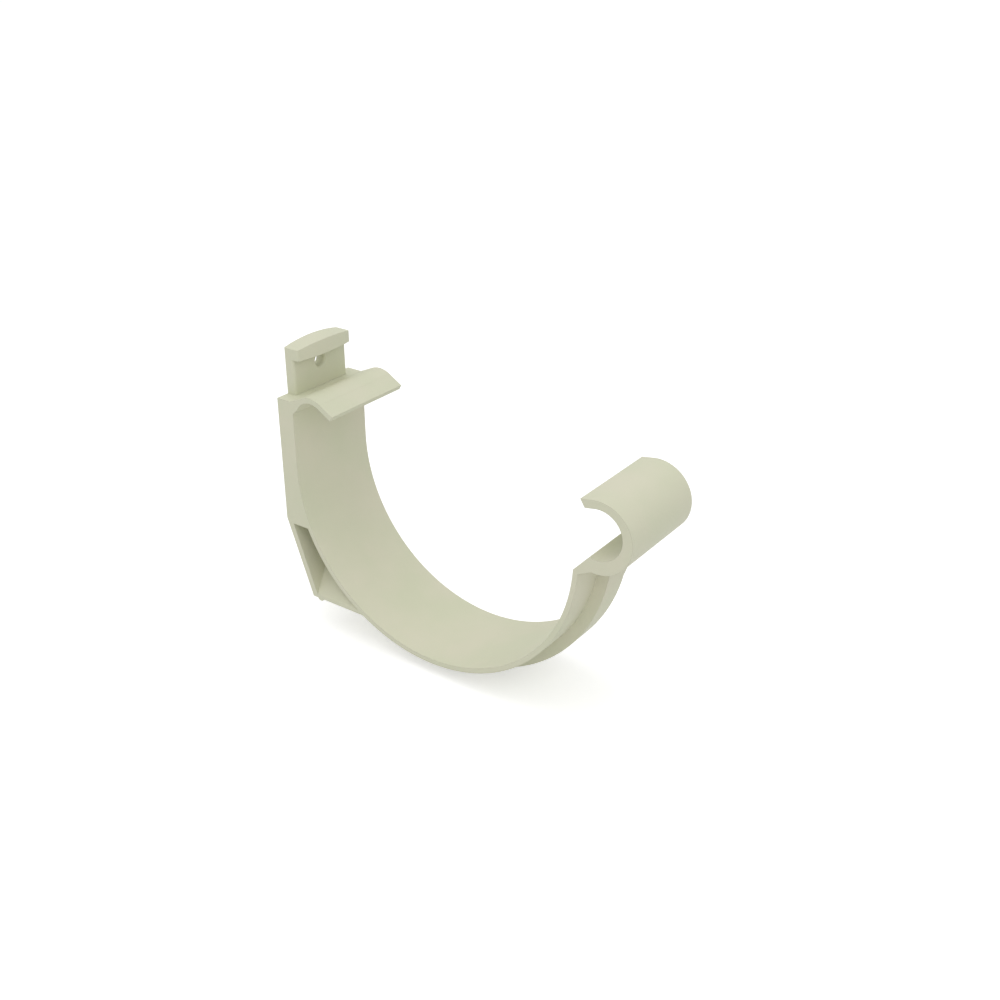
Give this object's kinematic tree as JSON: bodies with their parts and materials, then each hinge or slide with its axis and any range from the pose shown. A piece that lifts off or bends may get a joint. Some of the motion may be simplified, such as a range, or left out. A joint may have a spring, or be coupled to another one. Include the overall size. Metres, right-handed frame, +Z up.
{
  "type": "gutter bracket",
  "caption": "Moulded plastic fascia bracket with a half-round gutter cradle, a back lip, a round front hook for the gutter's bead and a screw tab.",
  "frame": {"origin": "on the fascia face, at mid width, at the height of the cradle's centre", "axes": "+X away from the wall to the front of the gutter, +Y along the gutter, +Z up"},
  "size_m": [0.1559, 0.04, 0.1168],
  "materials": {
    "moulding": "satin"
  },
  "bodies": {
    "root": {"bracket": "moulding"}
  },
  "joints": []
}
